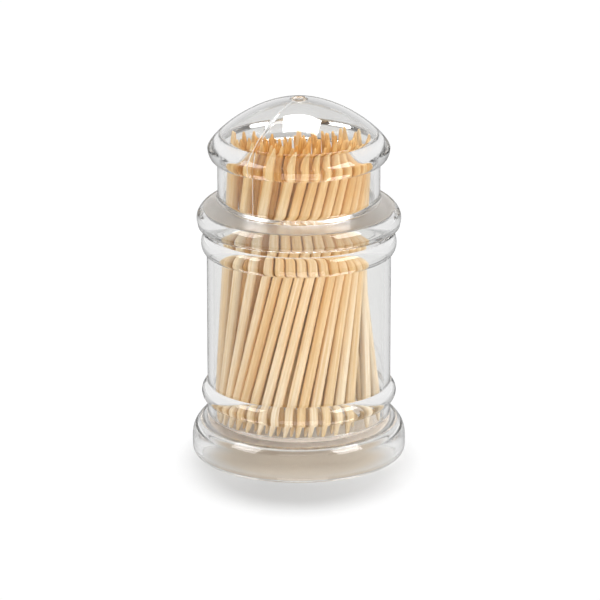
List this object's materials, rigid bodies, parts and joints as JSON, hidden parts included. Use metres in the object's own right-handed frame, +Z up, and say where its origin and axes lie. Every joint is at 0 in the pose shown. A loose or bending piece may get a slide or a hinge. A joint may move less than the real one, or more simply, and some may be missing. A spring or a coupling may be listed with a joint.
{
  "type": "toothpick holder",
  "caption": "Clear round table holder with a hollow flared foot, ring beads and a domed lift-off lid with a dispensing hole, filled with double-pointed wooden toothpicks.",
  "frame": {"origin": "centre of the foot's resting plane, on the axis of the jar, lid and dispensing hole", "axes": "+Z up along the holder's axis, -Y towards the viewer of the picture, +X to the viewer's right"},
  "size_m": [0.046, 0.046, 0.0789],
  "materials": {
    "clear_plastic": "clear, glossy, injection moulded",
    "toothpick_wood": "raw, lightly polished"
  },
  "bodies": {
    "jar": {"jar": "clear_plastic", "toothpicks_front_left": "toothpick_wood", "toothpicks_front_middle": "toothpick_wood", "toothpicks_front_right": "toothpick_wood", "toothpicks_side_right": "toothpick_wood", "toothpicks_back": "toothpick_wood", "toothpicks_second_front": "toothpick_wood", "toothpicks_second_back": "toothpick_wood", "toothpicks_third_front": "toothpick_wood", "toothpicks_third_back": "toothpick_wood", "toothpicks_fourth_ring": "toothpick_wood"},
    "lid": {"lid": "clear_plastic"},
    "toothpick": {"dispensing_toothpick": "toothpick_wood"}
  },
  "joints": [
    {"name": "lid_lift", "type": "slide", "parent": "jar", "child": "lid", "axis": [0, 0, 1], "range_m": [0, 0.06]},
    {"name": "toothpick_out", "type": "slide", "parent": "jar", "child": "toothpick", "axis": [0, 0, 1], "range_m": [0, 0.072]}
  ]
}
